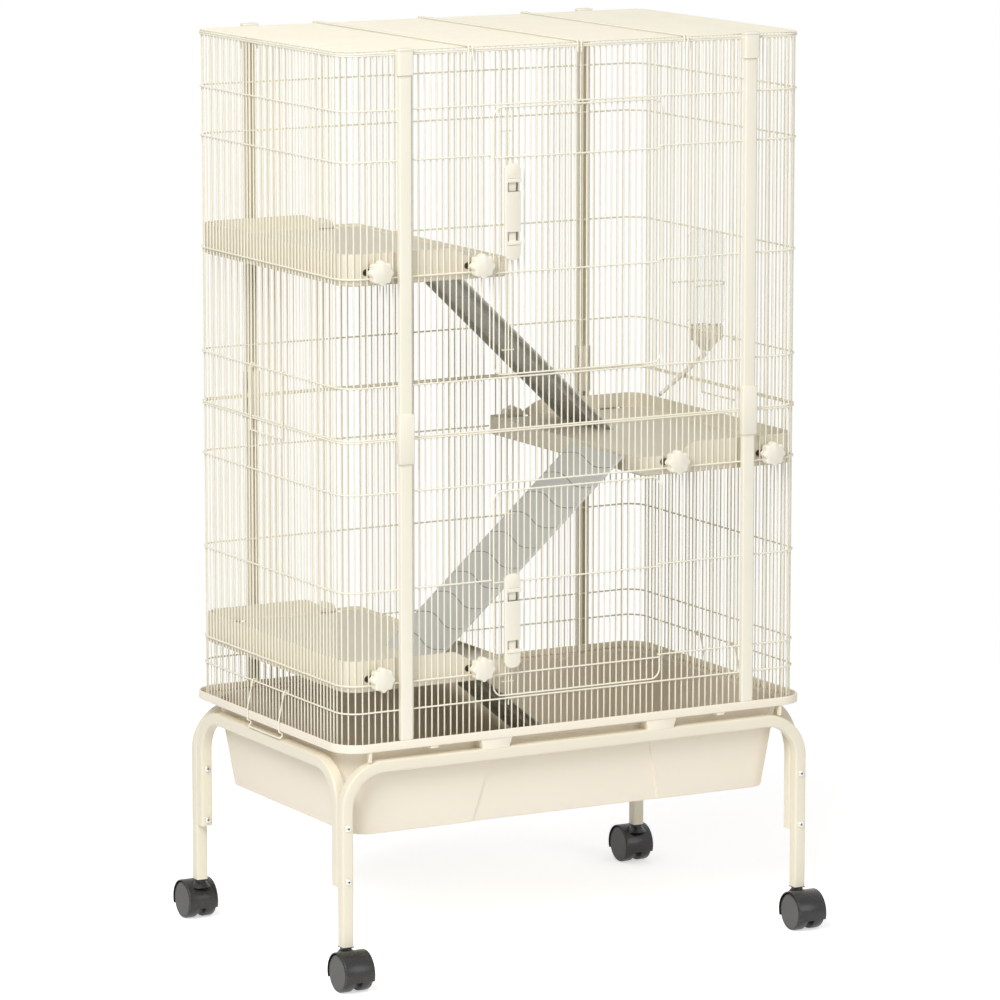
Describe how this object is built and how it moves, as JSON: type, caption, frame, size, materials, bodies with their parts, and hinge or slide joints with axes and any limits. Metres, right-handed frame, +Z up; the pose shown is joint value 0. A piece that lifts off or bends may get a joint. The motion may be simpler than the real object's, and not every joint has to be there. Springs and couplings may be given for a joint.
{
  "type": "small animal cage",
  "caption": "Tall two-tier wire cage for small pets on a rolling stand, with doors, platforms, ramps and a water bottle.",
  "frame": {"origin": "On the floor under the middle of the cage.", "axes": "+X to the right along the door side, +Y from the doors to the back, +Z up."},
  "size_m": [0.7668, 0.516, 1.215],
  "materials": {
    "wire": "powder coated, semi-gloss",
    "post_paint": "powder coated, semi-gloss",
    "stand_paint": "powder coated, semi-gloss",
    "tray_plastic": "moulded, satin",
    "platform_plastic": "moulded, satin",
    "ramp_plastic": "moulded, matt",
    "trim_plastic": "moulded, smooth",
    "caster_plastic": "moulded, satin",
    "wheel_rubber": "hard rubber, matt",
    "bottle_clear": "clear and smooth",
    "cap_plastic": "moulded, satin",
    "steel": "plated, satin"
  },
  "bodies": {
    "cage": {"base_tray": "tray_plastic", "stand_front_frame": "stand_paint", "stand_back_frame": "stand_paint", "stand_left_frame": "stand_paint", "stand_right_frame": "stand_paint", "stand_fasteners": "steel", "caster_sockets": "caster_plastic", "left_upper_panel": "wire", "right_upper_panel": "wire", "front_upper_panel": "wire", "back_upper_panel": "wire", "left_lower_panel": "wire", "right_lower_panel": "wire", "front_lower_panel": "wire", "back_lower_panel": "wire", "roof_panel": "wire", "posts": "post_paint", "post_covers": "post_paint", "upper_platform": "platform_plastic", "middle_platform": "platform_plastic", "lower_platform": "platform_plastic", "upper_ramp": "ramp_plastic", "middle_ramp": "ramp_plastic", "lower_ramp": "ramp_plastic", "water_bottle": "bottle_clear", "bottle_cap": "cap_plastic", "drinking_tube": "steel", "bottle_holder": "wire"},
    "upper_door_body": {"upper_door": "wire", "upper_latch_plate": "trim_plastic"},
    "lower_door_body": {"lower_door": "wire", "lower_latch_plate": "trim_plastic"},
    "upper_door_top_bolt_body": {"upper_door_top_bolt": "trim_plastic"},
    "upper_door_bottom_bolt_body": {"upper_door_bottom_bolt": "trim_plastic"},
    "lower_door_top_bolt_body": {"lower_door_top_bolt": "trim_plastic"},
    "lower_door_bottom_bolt_body": {"lower_door_bottom_bolt": "trim_plastic"},
    "left_tier_clip_body": {"left_tier_clip": "wire"},
    "left_tray_clip_body": {"left_tray_clip": "wire"},
    "front_left_caster_hood_body": {"front_left_caster_hood": "caster_plastic"},
    "front_left_caster_wheels_body": {"front_left_caster_wheels": "wheel_rubber"},
    "back_left_caster_hood_body": {"back_left_caster_hood": "caster_plastic"},
    "back_left_caster_wheels_body": {"back_left_caster_wheels": "wheel_rubber"},
    "right_tier_clip_body": {"right_tier_clip": "wire"},
    "right_tray_clip_body": {"right_tray_clip": "wire"},
    "front_right_caster_hood_body": {"front_right_caster_hood": "caster_plastic"},
    "front_right_caster_wheels_body": {"front_right_caster_wheels": "wheel_rubber"},
    "back_right_caster_hood_body": {"back_right_caster_hood": "caster_plastic"},
    "back_right_caster_wheels_body": {"back_right_caster_wheels": "wheel_rubber"},
    "upper_front_inner_knob_body": {"upper_front_inner_knob": "trim_plastic"},
    "upper_front_outer_knob_body": {"upper_front_outer_knob": "trim_plastic"},
    "upper_back_inner_knob_body": {"upper_back_inner_knob": "trim_plastic"},
    "upper_back_outer_knob_body": {"upper_back_outer_knob": "trim_plastic"},
    "middle_front_inner_knob_body": {"middle_front_inner_knob": "trim_plastic"},
    "middle_front_outer_knob_body": {"middle_front_outer_knob": "trim_plastic"},
    "middle_back_inner_knob_body": {"middle_back_inner_knob": "trim_plastic"},
    "middle_back_outer_knob_body": {"middle_back_outer_knob": "trim_plastic"},
    "lower_front_inner_knob_body": {"lower_front_inner_knob": "trim_plastic"},
    "lower_front_outer_knob_body": {"lower_front_outer_knob": "trim_plastic"},
    "lower_back_inner_knob_body": {"lower_back_inner_knob": "trim_plastic"},
    "lower_back_outer_knob_body": {"lower_back_outer_knob": "trim_plastic"}
  },
  "joints": [
    {"name": "upper_door_hinge", "type": "hinge", "parent": "cage", "child": "upper_door_body", "pos_m": [0.1252, -0.2155, 0.96], "axis": [0, 0, 1], "range_deg": [0, 160]},
    {"name": "upper_door_top_bolt_slide", "type": "slide", "parent": "upper_door_body", "child": "upper_door_top_bolt_body", "axis": [0, 0, -1], "range_m": [0, 0.0115], "stiffness_N_per_m": 300},
    {"name": "upper_door_bottom_bolt_slide", "type": "slide", "parent": "upper_door_body", "child": "upper_door_bottom_bolt_body", "axis": [0, 0, 1], "range_m": [0, 0.0115], "stiffness_N_per_m": 300},
    {"name": "lower_door_hinge", "type": "hinge", "parent": "cage", "child": "lower_door_body", "pos_m": [0.1252, -0.2155, 0.5025], "axis": [0, 0, 1], "range_deg": [0, 160]},
    {"name": "lower_door_top_bolt_slide", "type": "slide", "parent": "lower_door_body", "child": "lower_door_top_bolt_body", "axis": [0, 0, -1], "range_m": [0, 0.0115], "stiffness_N_per_m": 300},
    {"name": "lower_door_bottom_bolt_slide", "type": "slide", "parent": "lower_door_body", "child": "lower_door_bottom_bolt_body", "axis": [0, 0, 1], "range_m": [0, 0.0115], "stiffness_N_per_m": 300},
    {"name": "left_tier_clip_hinge", "type": "hinge", "parent": "cage", "child": "left_tier_clip_body", "pos_m": [-0.343, 0, 0.783], "axis": [0, 1, 0], "range_deg": [0, 110]},
    {"name": "left_tray_clip_hinge", "type": "hinge", "parent": "cage", "child": "left_tray_clip_body", "pos_m": [-0.343, 0, 0.36], "axis": [0, 1, 0], "range_deg": [0, 100]},
    {"name": "front_left_caster_swivel", "type": "hinge", "parent": "cage", "child": "front_left_caster_hood_body", "pos_m": [-0.3435, -0.215, 0.045], "axis": [0, 0, 1], "continuous": true},
    {"name": "front_left_caster_roll", "type": "hinge", "parent": "front_left_caster_hood_body", "child": "front_left_caster_wheels_body", "pos_m": [-0.3435, -0.23, 0.025], "axis": [1, 0, 0], "continuous": true},
    {"name": "back_left_caster_swivel", "type": "hinge", "parent": "cage", "child": "back_left_caster_hood_body", "pos_m": [-0.3435, 0.215, 0.045], "axis": [0, 0, 1], "continuous": true},
    {"name": "back_left_caster_roll", "type": "hinge", "parent": "back_left_caster_hood_body", "child": "back_left_caster_wheels_body", "pos_m": [-0.3435, 0.23, 0.025], "axis": [1, 0, 0], "continuous": true},
    {"name": "right_tier_clip_hinge", "type": "hinge", "parent": "cage", "child": "right_tier_clip_body", "pos_m": [0.343, 0, 0.783], "axis": [0, -1, 0], "range_deg": [0, 110]},
    {"name": "right_tray_clip_hinge", "type": "hinge", "parent": "cage", "child": "right_tray_clip_body", "pos_m": [0.343, 0, 0.36], "axis": [0, -1, 0], "range_deg": [0, 100]},
    {"name": "front_right_caster_swivel", "type": "hinge", "parent": "cage", "child": "front_right_caster_hood_body", "pos_m": [0.3435, -0.215, 0.045], "axis": [0, 0, 1], "continuous": true},
    {"name": "front_right_caster_roll", "type": "hinge", "parent": "front_right_caster_hood_body", "child": "front_right_caster_wheels_body", "pos_m": [0.3435, -0.23, 0.025], "axis": [1, 0, 0], "continuous": true},
    {"name": "back_right_caster_swivel", "type": "hinge", "parent": "cage", "child": "back_right_caster_hood_body", "pos_m": [0.3435, 0.215, 0.045], "axis": [0, 0, 1], "continuous": true},
    {"name": "back_right_caster_roll", "type": "hinge", "parent": "back_right_caster_hood_body", "child": "back_right_caster_wheels_body", "pos_m": [0.3435, 0.23, 0.025], "axis": [1, 0, 0], "continuous": true},
    {"name": "upper_front_inner_knob_turn", "type": "hinge", "parent": "cage", "child": "upper_front_inner_knob_body", "pos_m": [-0.1466, -0.224, 0.931], "axis": [0, 1, 0], "continuous": true},
    {"name": "upper_front_outer_knob_turn", "type": "hinge", "parent": "cage", "child": "upper_front_outer_knob_body", "pos_m": [-0.29388, -0.224, 0.931], "axis": [0, 1, 0], "continuous": true},
    {"name": "upper_back_inner_knob_turn", "type": "hinge", "parent": "cage", "child": "upper_back_inner_knob_body", "pos_m": [-0.1466, 0.224, 0.931], "axis": [0, 1, 0], "continuous": true},
    {"name": "upper_back_outer_knob_turn", "type": "hinge", "parent": "cage", "child": "upper_back_outer_knob_body", "pos_m": [-0.29388, 0.224, 0.931], "axis": [0, 1, 0], "continuous": true},
    {"name": "middle_front_inner_knob_turn", "type": "hinge", "parent": "cage", "child": "middle_front_inner_knob_body", "pos_m": [0.1466, -0.224, 0.653], "axis": [0, 1, 0], "continuous": true},
    {"name": "middle_front_outer_knob_turn", "type": "hinge", "parent": "cage", "child": "middle_front_outer_knob_body", "pos_m": [0.29388, -0.224, 0.653], "axis": [0, 1, 0], "continuous": true},
    {"name": "middle_back_inner_knob_turn", "type": "hinge", "parent": "cage", "child": "middle_back_inner_knob_body", "pos_m": [0.1466, 0.224, 0.653], "axis": [0, 1, 0], "continuous": true},
    {"name": "middle_back_outer_knob_turn", "type": "hinge", "parent": "cage", "child": "middle_back_outer_knob_body", "pos_m": [0.29388, 0.224, 0.653], "axis": [0, 1, 0], "continuous": true},
    {"name": "lower_front_inner_knob_turn", "type": "hinge", "parent": "cage", "child": "lower_front_inner_knob_body", "pos_m": [-0.1466, -0.224, 0.404], "axis": [0, 1, 0], "continuous": true},
    {"name": "lower_front_outer_knob_turn", "type": "hinge", "parent": "cage", "child": "lower_front_outer_knob_body", "pos_m": [-0.29388, -0.224, 0.404], "axis": [0, 1, 0], "continuous": true},
    {"name": "lower_back_inner_knob_turn", "type": "hinge", "parent": "cage", "child": "lower_back_inner_knob_body", "pos_m": [-0.1466, 0.224, 0.404], "axis": [0, 1, 0], "continuous": true},
    {"name": "lower_back_outer_knob_turn", "type": "hinge", "parent": "cage", "child": "lower_back_outer_knob_body", "pos_m": [-0.29388, 0.224, 0.404], "axis": [0, 1, 0], "continuous": true}
  ]
}
